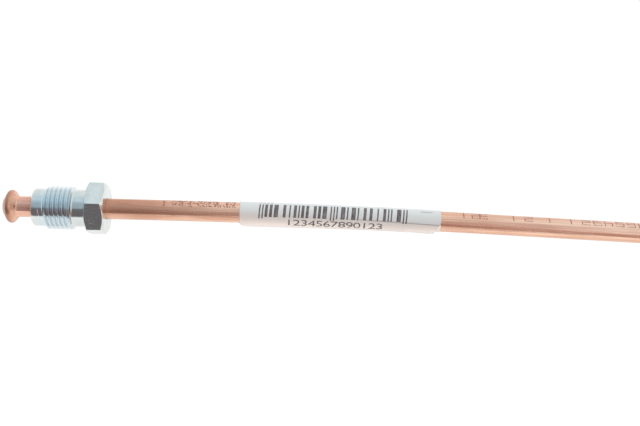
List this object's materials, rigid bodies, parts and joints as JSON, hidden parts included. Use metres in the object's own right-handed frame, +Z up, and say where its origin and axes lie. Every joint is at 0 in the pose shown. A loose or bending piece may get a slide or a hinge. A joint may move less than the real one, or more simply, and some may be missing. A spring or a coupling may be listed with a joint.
{
  "type": "brake line",
  "caption": "Short rigid copper brake line with a bubble flare and a sliding hexagon-headed tube nut on each end, and a label wound round its middle.",
  "frame": {"origin": "middle of the base, on the surface that the two nuts rest on", "axes": "+X along the line from its near end, whose nut stands back from its flare, to its far end, +Z up"},
  "size_m": [0.2, 0.0172, 0.011],
  "materials": {
    "copper": "drawn, slightly tarnished",
    "zinc_plated_steel": "turned and zinc plated, bright",
    "label_film": "satin"
  },
  "bodies": {
    "line": {"brake_tube": "copper", "barcode_label": "label_film"},
    "near_nut": {"near_tube_nut": "zinc_plated_steel"},
    "far_nut": {"far_tube_nut": "zinc_plated_steel"}
  },
  "joints": [
    {"name": "near_nut_slide", "type": "slide", "parent": "line", "child": "near_nut", "axis": [1, 0, 0], "range_m": [-0.0042, 0.03]},
    {"name": "far_nut_slide", "type": "slide", "parent": "line", "child": "far_nut", "axis": [-0.9992, 0.0403, 0], "range_m": [0, 0.081]}
  ]
}
